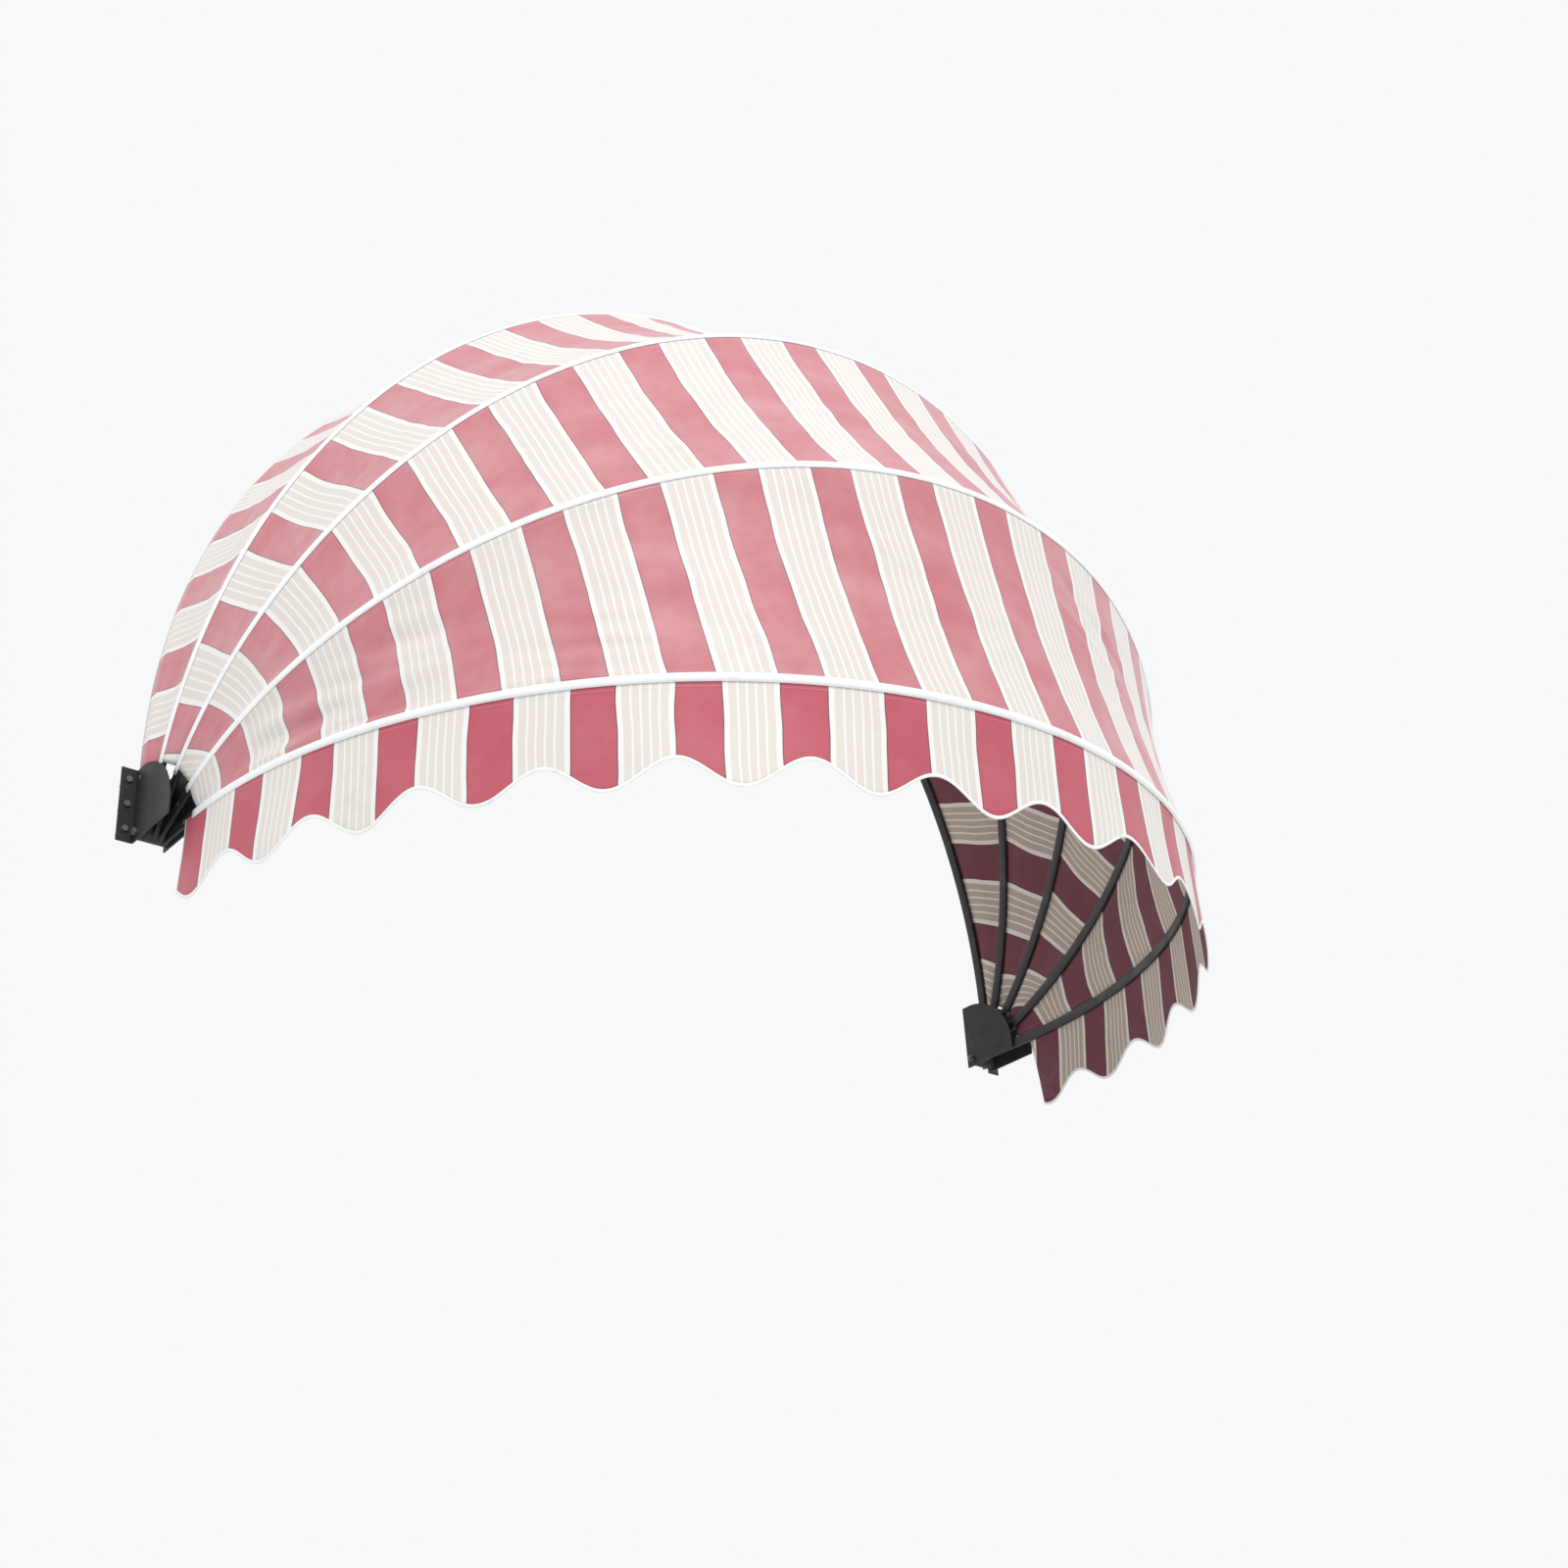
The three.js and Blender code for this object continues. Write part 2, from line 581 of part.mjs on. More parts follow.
export default awning;
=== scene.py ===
"""A dome awning: striped cloth stretched over five hinged bows, with a scalloped valance.

Metres, in the part's own frame: +X along the pivot axis, +Y into the wall, +Z up. Cloth is laid out
with two numbers: s, the way along a bow from its crown towards -X, and the way across from
the bow behind to the bow in front.
"""

import json
import math
from bisect import bisect_right

import bmesh
import bpy
from mathutils import Matrix, Vector, noise

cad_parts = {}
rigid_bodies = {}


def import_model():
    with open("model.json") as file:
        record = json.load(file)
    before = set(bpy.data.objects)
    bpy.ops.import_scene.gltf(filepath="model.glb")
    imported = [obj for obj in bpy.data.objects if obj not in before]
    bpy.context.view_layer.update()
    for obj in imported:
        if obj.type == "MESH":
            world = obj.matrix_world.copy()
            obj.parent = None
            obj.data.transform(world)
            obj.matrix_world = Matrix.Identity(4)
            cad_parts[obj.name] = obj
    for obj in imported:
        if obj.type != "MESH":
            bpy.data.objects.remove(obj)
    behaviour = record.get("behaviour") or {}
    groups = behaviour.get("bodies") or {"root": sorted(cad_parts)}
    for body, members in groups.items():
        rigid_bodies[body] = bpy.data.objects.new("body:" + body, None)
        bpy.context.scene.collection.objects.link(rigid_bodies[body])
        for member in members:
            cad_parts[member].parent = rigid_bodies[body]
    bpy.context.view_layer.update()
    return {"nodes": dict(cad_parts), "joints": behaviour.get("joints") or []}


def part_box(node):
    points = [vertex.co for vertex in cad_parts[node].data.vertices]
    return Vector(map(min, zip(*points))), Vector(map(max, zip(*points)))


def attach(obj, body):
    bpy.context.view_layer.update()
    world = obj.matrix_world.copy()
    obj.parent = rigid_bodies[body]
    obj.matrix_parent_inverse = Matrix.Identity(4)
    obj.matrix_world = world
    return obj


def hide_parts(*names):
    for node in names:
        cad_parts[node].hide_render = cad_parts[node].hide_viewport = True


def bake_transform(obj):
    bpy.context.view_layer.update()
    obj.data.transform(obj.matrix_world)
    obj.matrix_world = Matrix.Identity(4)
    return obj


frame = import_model()
nodes = frame["nodes"]

MM = 0.001

CAMERA_PLACE = (-3.0328, -4.0924, -3.9762)
CAMERA_YAW, CAMERA_PITCH, CAMERA_ROLL = 0.7249, 0.4994, -0.0671
CAMERA_LENS = 51.31  # on a sensor 36 wide
FLOOR_HEIGHT = -5.4
FLOOR_REACH = 150

PIVOT = Vector(frame["joints"][0]["pos_m"])
NAMES = ["wall", "second", "third", "fourth", "front"]
BODIES = ["wall_frame"] + [joint["child"] for joint in frame["joints"]]

LEG = 160 * MM  # straight part of a bow, from the pivot axis up
TUBE_START = 70 * MM
TUBE_WIDTH = 26 * MM
TUBE_THICKNESS = 9 * MM
TUBE_WALL = 1.4 * MM
TUBE_CORNER = 2.6 * MM
TUBE_BENDS = 300  # straight steps that the bend is made of
GAP = 0.3 * MM
CLOTH = 0.8 * MM
CLOTH_LIFT = TUBE_THICKNESS / 2 + GAP
WALL_FLAP = 17.5 * MM

STRIP_WIDTH = 20 * MM
STRIP_START = 146 * MM  # from the pivot axis
STRIP_SOLE = 0.15  # share of the strip's height that lies under its widest line
STRIP_BENDS = 320
STRIP_HUB_HEIGHT = 2.4 * MM
STRIP_HEIGHT = 7 * MM
STRIP_TAPER = 0.5  # how far above the legs the strip reaches its full height
STRIP_WANDER = 1.2 * MM

STRIPE_PITCH = 203.5 * MM
RED_WIDTH = 92 * MM
BORDER_WIDTH = 11 * MM
PINSTRIPE_WIDTH = 4.4 * MM
CREAM_BANDS = 5  # between the two white borders, with a pinstripe between each two
THREAD_EDGE = 0.5 * MM  # how softly one colour meets the next
SEAM_WIDTH = 3 * MM  # the dark threads inside a red stripe's edge
HEM_WIDTH = 21 * MM
STITCH_INSET = 3 * MM
STITCH_LENGTH = 4.5 * MM
STITCH_SHARE = 0.62  # of its length that a stitch shows

GORE_SAG = 20 * MM
PUCKER_REACH = 50 * MM
PINNED_EDGE = 12 * MM
GORE_COLUMNS = 420
GORE_ROWS = 60

SCALLOP_PITCH = 260 * MM
SCALLOP_SHIFT = -101 * MM
VALANCE_MEAN = 209 * MM
VALANCE_WAVE = 31 * MM
VALANCE_END_RISE = 32 * MM
VALANCE_OFFSET = 49 * MM  # sewn on off centre, towards -X
VALANCE_RIGHT_LEAN = 44 * MM
VALANCE_LEFT_LEAN = 8 * MM
VALANCE_PHASE = -45 * MM
VALANCE_COLUMNS = 480
VALANCE_ROWS = 18
BINDING_WIDTH = 8 * MM
BINDING_THICKNESS = 2.4 * MM
BINDING_CORNER = 0.9 * MM


# ---------------------------------------------------------------- camera and stage

def add_camera():
    """A standing viewer's camera below the awning, to its left, looking up into it."""
    data = bpy.data.cameras.new("camera")
    data.sensor_width = 36
    data.lens = CAMERA_LENS
    camera = bpy.data.objects.new("camera", data)
    bpy.context.scene.collection.objects.link(camera)
    aim = Matrix.Rotation(-CAMERA_YAW, 4, "Z") @ Matrix.Rotation(math.pi / 2 + CAMERA_PITCH, 4, "X")
    tilt = Matrix.Rotation(CAMERA_ROLL, 4, "Z")
    camera.matrix_world = Matrix.Translation(CAMERA_PLACE) @ aim @ tilt
    bpy.context.scene.camera = camera


def add_area_light(name, place, target, size, power, colour=(1, 1, 1)):
    data = bpy.data.lights.new(name, "AREA")
    data.shape = "RECTANGLE"
    data.size, data.size_y = size
    data.energy = power
    data.color = colour
    light = bpy.data.objects.new(name, data)
    bpy.context.scene.collection.objects.link(light)
    way = Vector(target) - Vector(place)
    light.matrix_world = Matrix.Translation(place) @ way.to_track_quat("-Z", "Y").to_matrix().to_4x4()


def add_stage():
    """A plain pale floor, pale surroundings and soft lamps."""
    floor_mesh = bmesh.new()
    bmesh.ops.create_grid(floor_mesh, x_segments=1, y_segments=1, size=FLOOR_REACH)
    bmesh.ops.translate(floor_mesh, verts=floor_mesh.verts, vec=(0, 0, FLOOR_HEIGHT))
    floor = finish_piece("floor", floor_mesh, [plain_material("floor_paint", (0.80, 0.80, 0.79), 0.9)])
    world = bpy.data.worlds.new("pale_room")
    world.use_nodes = True
    background = world.node_tree.nodes["Background"]
    background.inputs["Color"].default_value = (0.98, 0.99, 1.0, 1)
    background.inputs["Strength"].default_value = 0.95
    bpy.context.scene.world = world
    bpy.context.scene.view_settings.view_transform = "Standard"
    add_area_light("key", (-3.5, -6.0, 3.6), (0, -0.6, -1.0), (4, 4), 260, (1, 0.98, 0.95))
    add_area_light("overhead", (0.5, -2.2, 4.6), (0, -0.6, -0.8), (5, 4), 15)
    add_area_light("fill", (6.0, -4.0, 0.5), (0.4, -0.5, -1.2), (3, 3), 20)


# ---------------------------------------------------------------- node helpers

class Nodes:
    """A short way to place and wire nodes in one tree."""

    def __init__(self, tree):
        self.tree = tree

    def add(self, kind, inputs=(), **settings):
        node = self.tree.nodes.new(kind)
        for key, value in settings.items():
            setattr(node, key, value)
        for key, value in dict(inputs).items():
            self.put(value, node.inputs[key])
        return node

    def put(self, value, socket):
        if isinstance(value, bpy.types.NodeSocket):
            self.tree.links.new(value, socket)
        else:
            socket.default_value = value

    def math(self, operation, a, b=0.0, c=0.0):
        return self.add("ShaderNodeMath", {0: a, 1: b, 2: c}, operation=operation).outputs[0]

    def step(self, value, low, high, start=0.0, end=1.0):
        """Goes smoothly from start to end as value goes from low to high."""
        inputs = {"Value": value, "From Min": low, "From Max": high, "To Min": start, "To Max": end}
        return self.add("ShaderNodeMapRange", inputs, interpolation_type="SMOOTHSTEP").outputs[0]

    def mix(self, factor, a, b, blend="MIX"):
        node = self.add("ShaderNodeMix", data_type="RGBA", blend_type=blend)
        for value, socket in ((factor, node.inputs[0]), (a, node.inputs[6]), (b, node.inputs[7])):
            self.put(value, socket)
        return node.outputs[2]

    def noise(self, vector, scale, detail=3.0, roughness=0.5):
        inputs = {"Vector": vector, "Scale": scale, "Detail": detail, "Roughness": roughness}
        return self.add("ShaderNodeTexNoise", inputs).outputs[0]

    def objects(self):
        return self.add("ShaderNodeTexCoord").outputs["Object"]

    def uv(self, layer="cloth"):
        return self.add("ShaderNodeUVMap", uv_map=layer).outputs[0]


def new_group(name, inputs, outputs):
    """A shader node group with named sockets. Returns it with its input and output nodes."""
    group = bpy.data.node_groups.new(name, "ShaderNodeTree")
    for socket, kind, value in inputs:
        made = group.interface.new_socket(name=socket, in_out="INPUT", socket_type=kind)
        if value is not None:
            made.default_value = value
    for socket, kind in outputs:
        group.interface.new_socket(name=socket, in_out="OUTPUT", socket_type=kind)
    kit = Nodes(group)
    return group, kit, kit.add("NodeGroupInput"), kit.add("NodeGroupOutput")


def new_material(name):
    material = bpy.data.materials.new(name)
    material.use_nodes = True
    return material, Nodes(material.node_tree), material.node_tree.nodes["Principled BSDF"]


def plain_material(name, colour, roughness):
    material, _, shader = new_material(name)
    shader.inputs["Base Color"].default_value = (*colour, 1)
    shader.inputs["Roughness"].default_value = roughness
    return material


# ---------------------------------------------------------------- shared effects

def stripes_group():
    """Woven stripes across `Along`: red, then a white border and a cream field with pinstripes."""
    colours = ["Red", "Seam", "White", "Cream"]
    group, kit, given, result = new_group(
        "awning_stripes",
        [("Along", "NodeSocketFloat", 0.0)] + [(c, "NodeSocketColor", (1, 1, 1, 1)) for c in colours],
        [("Color", "NodeSocketColor")],
    )
    turns = kit.math("ADD", kit.math("DIVIDE", given.outputs["Along"], STRIPE_PITCH), 0.5)
    from_red = kit.math("ABSOLUTE", kit.math("SUBTRACT", kit.math("FRACT", turns), 0.5))
    distance = kit.math("MULTIPLY", from_red, STRIPE_PITCH)
    edge = RED_WIDTH / 2
    soft = THREAD_EDGE
    red = kit.step(distance, edge - soft, edge + soft, 1, 0)
    seam = kit.math("MULTIPLY", kit.step(distance, edge - SEAM_WIDTH, edge - 2 * SEAM_WIDTH / 3), red)
    field = kit.step(distance, edge + BORDER_WIDTH - soft, edge + BORDER_WIDTH + soft)
    field_half = STRIPE_PITCH / 2 - edge - BORDER_WIDTH
    band = 2 * field_half / CREAM_BANDS
    from_middle = kit.math("SUBTRACT", STRIPE_PITCH / 2, distance)
    from_line = kit.math("PINGPONG", kit.math("ADD", from_middle, band / 2), band / 2)
    line = kit.step(from_line, PINSTRIPE_WIDTH / 2 - soft, PINSTRIPE_WIDTH / 2 + soft, 1, 0)
    inside_field = kit.step(from_middle, field_half - band / 2 - soft, field_half - band / 2, 1, 0)
    line = kit.math("MULTIPLY", line, inside_field)
    pale = kit.mix(field, given.outputs["White"], given.outputs["Cream"])
    pale = kit.mix(line, pale, given.outputs["White"])
    colour = kit.mix(red, pale, given.outputs["Red"])
    kit.put(kit.mix(seam, colour, given.outputs["Seam"]), result.inputs["Color"])
    return group


def weave_group():
    """A plain weave's height, from cloth coordinates in metres."""
    group, kit, given, result = new_group(
        "plain_weave",
        [("Vector", "NodeSocketVector", None), ("Thread", "NodeSocketFloat", 1.2 * MM)],
        [("Height", "NodeSocketFloat")],
    )
    split = kit.add("ShaderNodeSeparateXYZ", {0: given.outputs["Vector"]})
    thread = given.outputs["Thread"]
    waves = [
        kit.math("SINE", kit.math("DIVIDE", kit.math("MULTIPLY", split.outputs[axis], math.pi), thread))
        for axis in (0, 1)
    ]
    kit.put(kit.math("MULTIPLY", waves[0], waves[1]), result.inputs["Height"])
    return group


def hem_group():
    """A sewn hem: the edge of a second layer of cloth, and a row of stitches just inside it."""
    group, kit, given, result = new_group(
        "sewn_hem",
        [("Vector", "NodeSocketVector", None)],
        [("Height", "NodeSocketFloat"), ("Thread mask", "NodeSocketFloat")],
    )
    split = kit.add("ShaderNodeSeparateXYZ", {0: given.outputs["Vector"]})
    along, inward = split.outputs[0], split.outputs[1]
    layer = kit.step(inward, HEM_WIDTH, HEM_WIDTH + 1.5 * MM, 1, 0)
    off_row = kit.math("ABSOLUTE", kit.math("SUBTRACT", inward, HEM_WIDTH - STITCH_INSET))
    row = kit.step(off_row, 0.3 * MM, 0.7 * MM, 1, 0)
    beat = kit.math("FRACT", kit.math("DIVIDE", along, STITCH_LENGTH))
    thread = kit.math("MULTIPLY", row, kit.step(beat, STITCH_SHARE, STITCH_SHARE + 0.08, 1, 0))
    kit.put(kit.math("SUBTRACT", layer, kit.math("MULTIPLY", row, 0.5)), result.inputs["Height"])
    kit.put(thread, result.inputs["Thread mask"])
    return group


def grime_group():
    """Faint blotches and streaks of dirt, as a mask."""
    group, kit, given, result = new_group(
        "grime",
        [("Vector", "NodeSocketVector", None), ("Scale", "NodeSocketFloat", 3.0),
         ("Amount", "NodeSocketFloat", 0.5)],
        [("Mask", "NodeSocketFloat")],
    )
    blotch = kit.noise(given.outputs["Vector"], given.outputs["Scale"], 6, 0.62)
    fine = kit.noise(given.outputs["Vector"], kit.math("MULTIPLY", given.outputs["Scale"], 9), 3, 0.6)
    both = kit.math("MULTIPLY", kit.step(blotch, 0.5, 0.72), kit.step(fine, 0.35, 0.7))
    kit.put(kit.math("MULTIPLY", both, given.outputs["Amount"]), result.inputs["Mask"])
    return group


def grain_group():
    """Small uneven grain, for paint and plating."""
    group, kit, given, result = new_group(
        "surface_grain",
        [("Vector", "NodeSocketVector", None), ("Scale", "NodeSocketFloat", 900.0)],
        [("Height", "NodeSocketFloat"), ("Patch", "NodeSocketFloat")],
    )
    kit.put(kit.noise(given.outputs["Vector"], given.outputs["Scale"], 2), result.inputs["Height"])
    patch = kit.noise(given.outputs["Vector"], 14.0, 5, 0.6)
    kit.put(kit.step(patch, 0.3, 0.75), result.inputs["Patch"])
    return group


# ---------------------------------------------------------------- materials

def cloth_material(name, red, seam, white, cream, fading_and_painted_sheen, roughness, sheen):
    """Striped awning cloth, laid out by the piece's own cloth coordinates."""
    material, kit, shader = new_material(name)
    uv = kit.uv()
    split = kit.add("ShaderNodeSeparateXYZ", {0: uv})
    ripple = kit.math("SUBTRACT", kit.noise(uv, 3.4, 2), 0.5)
    along = kit.math("MULTIPLY_ADD", ripple, 26 * MM, split.outputs[0])
    stripes = kit.add("ShaderNodeGroup", node_tree=STRIPES)
    for socket, value in (("Along", along), ("Red", red), ("Seam", seam), ("White", white), ("Cream", cream)):
        kit.put(value, stripes.inputs[socket])
    # Pale patches, mixed towards a pale pink: real fading, and on the gores a heavier share that is painted
    # sheen.
    patches = kit.step(kit.noise(uv, 5.0, 4, 0.6), 0.35, 0.75, 0.0, fading_and_painted_sheen)
    colour = kit.mix(patches, stripes.outputs["Color"], (0.82, 0.74, 0.72, 1))
    slub = kit.noise(uv, 420.0, 2)
    colour = kit.mix(0.16, colour, kit.mix(1.0, colour, slub, "MULTIPLY"))
    grime = kit.add("ShaderNodeGroup", {"Vector": uv, "Scale": 3.4, "Amount": 0.16}, node_tree=GRIME)
    colour = kit.mix(grime.outputs["Mask"], colour, (0.30, 0.29, 0.28, 1))
    hem = kit.add("ShaderNodeGroup", {"Vector": kit.uv("hem")}, node_tree=HEM)
    colour = kit.mix(kit.math("MULTIPLY", hem.outputs["Thread mask"], 0.25), colour, white)
    kit.put(colour, shader.inputs["Base Color"])
    rough = kit.step(kit.noise(uv, 9.0, 4), 0.3, 0.7, roughness - 0.05, roughness + 0.07)
    kit.put(rough, shader.inputs["Roughness"])
    weave = kit.add("ShaderNodeGroup", {"Vector": uv, "Thread": 1.3 * MM}, node_tree=WEAVE)
    crinkle = kit.noise(uv, 26.0, 4, 0.55)
    height = kit.math("MULTIPLY_ADD", weave.outputs["Height"], 0.07, kit.math("MULTIPLY", crinkle, 1.2))
    height = kit.math("MULTIPLY_ADD", hem.outputs["Height"], 0.6, height)
    bump = kit.add("ShaderNodeBump", {"Height": height, "Strength": 0.35, "Distance": 1.2 * MM})
    kit.put(bump.outputs[0], shader.inputs["Normal"])
    shader.inputs["Sheen Weight"].default_value = sheen
    shader.inputs["Sheen Roughness"].default_value = 0.45
    shader.inputs["Specular IOR Level"].default_value = 0.45
    return material


def painted_material(name, colour, dusty, roughness, metallic):
    """Dark paint or plating with fine grain and a little dust."""
    material, kit, shader = new_material(name)
    spot = kit.objects()
    grain = kit.add("ShaderNodeGroup", {"Vector": spot, "Scale": 1100.0}, node_tree=GRAIN)
    grime = kit.add("ShaderNodeGroup", {"Vector": spot, "Scale": 16.0, "Amount": 0.55}, node_tree=GRIME)
    colour = kit.mix(grain.outputs["Patch"], (*colour, 1), (*[c * 1.35 for c in colour], 1))
    kit.put(kit.mix(grime.outputs["Mask"], colour, (*dusty, 1)), shader.inputs["Base Color"])
    rough = kit.step(grain.outputs["Patch"], 0.0, 1.0, roughness, roughness + 0.16)
    kit.put(rough, shader.inputs["Roughness"])
    bump_inputs = {"Height": grain.outputs["Height"], "Strength": 0.12, "Distance": 0.4 * MM}
    bump = kit.add("ShaderNodeBump", bump_inputs)
    kit.put(bump.outputs[0], shader.inputs["Normal"])
    shader.inputs["Metallic"].default_value = metallic
    return material


def tape_material(name, colour, roughness, thread):
    """White woven tape or ribbed plastic, a little grey where dirt has settled."""
    material, kit, shader = new_material(name)
    spot = kit.objects()
    grime = kit.add("ShaderNodeGroup", {"Vector": spot, "Scale": 7.0, "Amount": 0.35}, node_tree=GRIME)
    kit.put(kit.mix(grime.outputs["Mask"], (*colour, 1), (0.42, 0.42, 0.42, 1)), shader.inputs["Base Color"])
    weave = kit.add("ShaderNodeGroup", {"Vector": spot, "Thread": thread}, node_tree=WEAVE)
    bump_inputs = {"Height": weave.outputs["Height"], "Strength": 0.2, "Distance": 0.3 * MM}
    bump = kit.add("ShaderNodeBump", bump_inputs)
    kit.put(bump.outputs[0], shader.inputs["Normal"])
    shader.inputs["Roughness"].default_value = roughness
    return material


# ---------------------------------------------------------------- mesh helpers

def finish_piece(name, mesh, materials):
    """Turns a bmesh into a named object with its materials."""
    data = bpy.data.meshes.new(name)
    mesh.to_mesh(data)
    mesh.free()
    piece = bpy.data.objects.new(name, data)
    bpy.context.scene.collection.objects.link(piece)
    for material in materials:
        data.materials.append(material)
    for face in data.polygons:
        face.use_smooth = True
    return piece


def thicken(piece, thickness, offset, inner_slot=0, even=True):
    """Gives a surface its thickness. Cloth that folds isn't evened out, so its folds stay thin."""
    solidify = piece.modifiers.new("thickness", "SOLIDIFY")
    solidify.thickness = thickness
    solidify.offset = offset
    solidify.use_even_offset = even
    solidify.material_offset = inner_slot
    solidify.material_offset_rim = 0


def straight_bar(length, width, height, cuts, corner, segments=2):
    """A bar along X with rounded long edges, cut across so that it can be bent."""
    bar = bmesh.new()
    bmesh.ops.create_cube(bar, size=1, matrix=Matrix.Diagonal((length, width, height, 1)))
    long_edges = [e for e in bar.edges if abs(e.verts[0].co.x - e.verts[1].co.x) > length / 2]
    bmesh.ops.bevel(
        bar, geom=long_edges, offset=corner, affect="EDGES", segments=segments, profile=0.5, material=-1,
    )
    long_edges = [e for e in bar.edges if abs(e.verts[0].co.x - e.verts[1].co.x) > length / 2]
    bmesh.ops.subdivide_edges(bar, edges=long_edges, cuts=cuts, use_grid_fill=True)
    return bar


# ---------------------------------------------------------------- bows

class Bow:
    """One bow's arc: half an ellipse on two straight legs, in a plane that leans forward."""

    STEPS = 600

    def __init__(self, index):
        self.name = NAMES[index]
        self.body = BODIES[index]
        rivet_low, rivet_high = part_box(f"{self.name}_foot_rivet_right")
        rivet = (rivet_low + rivet_high) / 2 - PIVOT
        self.theta = math.atan2(-rivet.y, rivet.z)
        self.radial = Vector((0, -math.sin(self.theta), math.cos(self.theta)))
        self.forward = Vector((0, -math.cos(self.theta), -math.sin(self.theta)))
        corners = [v.co - PIVOT for v in nodes[f"{self.name}_bow"].data.vertices]
        self.half_width = max(c.x for c in corners) - TUBE_THICKNESS / 2
        self.rise = max(c.dot(self.radial) for c in corners) - TUBE_THICKNESS / 2 - LEG
        self.table = [0.0]
        step = math.pi / 2 / self.STEPS
        for i in range(self.STEPS):
            angle = (i + 0.5) * step
            self.table.append(self.table[-1] + step * math.hypot(
                self.half_width * math.cos(angle), self.rise * math.sin(angle)))
        self.half_arc = self.table[-1]

    def angle(self, s):
        """The ellipse's angle at the way s from the crown."""
        way = min(abs(s), self.half_arc)
        low = min(bisect_right(self.table, way), self.STEPS) - 1
        share = (way - self.table[low]) / (self.table[low + 1] - self.table[low])
        return math.copysign((low + share) * math.pi / 2 / self.STEPS, s)

    def outward(self, s):
        """The direction out of the dome, square to the bow."""
        phi = self.angle(s)
        x, r = -self.rise * math.sin(phi), self.half_width * math.cos(phi)
        return (Vector((x, 0, 0)) + self.radial * r).normalized()

    def at(self, s, out=0.0, side=0.0):
        """The place at s along the centre line, moved out of the dome and towards the front."""
        phi = self.angle(s)
        beyond = max(abs(s) - self.half_arc, 0)
        centre = Vector((-self.half_width * math.sin(phi), 0, 0))
        centre += self.radial * (LEG + self.rise * math.cos(phi) - beyond)
        return PIVOT + centre + self.outward(s) * out + self.forward * side


def bow_tube(bow):
    """The flat oval tube, open at both ends."""
    reach = 2 * (bow.half_arc + LEG - TUBE_START)
    bar = straight_bar(reach, TUBE_WIDTH, TUBE_THICKNESS, TUBE_BENDS, TUBE_CORNER)
    ends = [f for f in bar.faces if abs(f.normal.x) > 0.9]
    bmesh.ops.delete(bar, geom=ends, context="FACES_ONLY")
    for vert in bar.verts:
        vert.co = bow.at(-vert.co.x, vert.co.z, -vert.co.y)
    piece = finish_piece(f"{bow.name}_bow_tube", bar, [BOW_PAINT])
    thicken(piece, TUBE_WALL, -1)
    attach(piece, bow.body)
    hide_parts(f"{bow.name}_bow")


def strip_height(bow, s):
    """The cover strip is low near the hubs, where the bows nest closely, and rounder above."""
    share = min(max(bow.half_arc - abs(s), 0) / STRIP_TAPER, 1)
    return STRIP_HUB_HEIGHT + (STRIP_HEIGHT - STRIP_HUB_HEIGHT) * share


def cover_strip(bow):
    """A white strip over the cloth's seam, rounded on top and nearly flat underneath."""
    reach = 2 * (bow.half_arc + LEG - STRIP_START)
    radius = STRIP_WIDTH / 2
    bar = straight_bar(reach, STRIP_WIDTH, STRIP_WIDTH, STRIP_BENDS, 0.98 * radius, 6)
    base = CLOTH_LIFT + CLOTH + GAP
    for vert in bar.verts:
        s, side = -vert.co.x, -vert.co.y
        rise = vert.co.z / radius
        share = STRIP_SOLE + (1 - STRIP_SOLE) * rise if rise > 0 else STRIP_SOLE * (1 + rise)
        wander = STRIP_WANDER * noise.noise(Vector((s * 1.7, 3.1, bow.theta)))
        vert.co = bow.at(s, base + share * strip_height(bow, s), side + wander)
    piece = finish_piece(f"{bow.name}_strip", bar, [STRIP_PLASTIC])
    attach(piece, bow.body)
    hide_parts(f"{bow.name}_cover_strip")


# ---------------------------------------------------------------- cloth

def ripple(height, s, y, along, across, seed):
    """Soft uneven waves up to `height`, about so many to the metre along s and across y."""
    return height * noise.noise(Vector((s * along, y * across, seed)))


def cloth_grid(columns, rows, place, pattern, hem):
    """A grid of cloth, and each vertex's u from -1 to 1 and v from 0 to 1.

    place, pattern and hem take u and v. pattern gives the place in the woven pattern, and hem the
    distance from the nearest sewn edge.
    """
    grid = bmesh.new()
    bmesh.ops.create_grid(grid, x_segments=columns, y_segments=rows, size=1)
    cloth, sewn = grid.loops.layers.uv.new("cloth"), grid.loops.layers.uv.new("hem")
    for face in grid.faces:
        for loop in face.loops:
            u, v = loop.vert.co.x, (loop.vert.co.y + 1) / 2
            loop[cloth].uv = pattern(u, v)
            loop[sewn].uv = (pattern(u, v)[0], hem(u, v))
    shares = [(vert.co.x, (vert.co.y + 1) / 2) for vert in grid.verts]
    for vert, (u, v) in zip(grid.verts, shares):
        vert.co = place(u, v)
    return grid, shares


def turn_about_pivot(spot):
    """The angle about the pivot axis, from straight up towards the front."""
    arm = spot - PIVOT
    return math.atan2(-arm.y, arm.z)


class Cut:
    """A cut edge of a gore. It curves away from the stripes, so they spread out along the bow.

    shift is where the middle red stripe meets the bow, in mm from its crown. left and right say
    how much the edge curves on each side.
    """

    def __init__(self, shift, left, right):
        self.shift, self.left, self.right = shift * MM, left, right

    def along(self, way):
        """How far across the stripes a place on the bow is."""
        past = way - self.shift
        return past * (1 - (self.left if past > 0 else self.right) * abs(past))


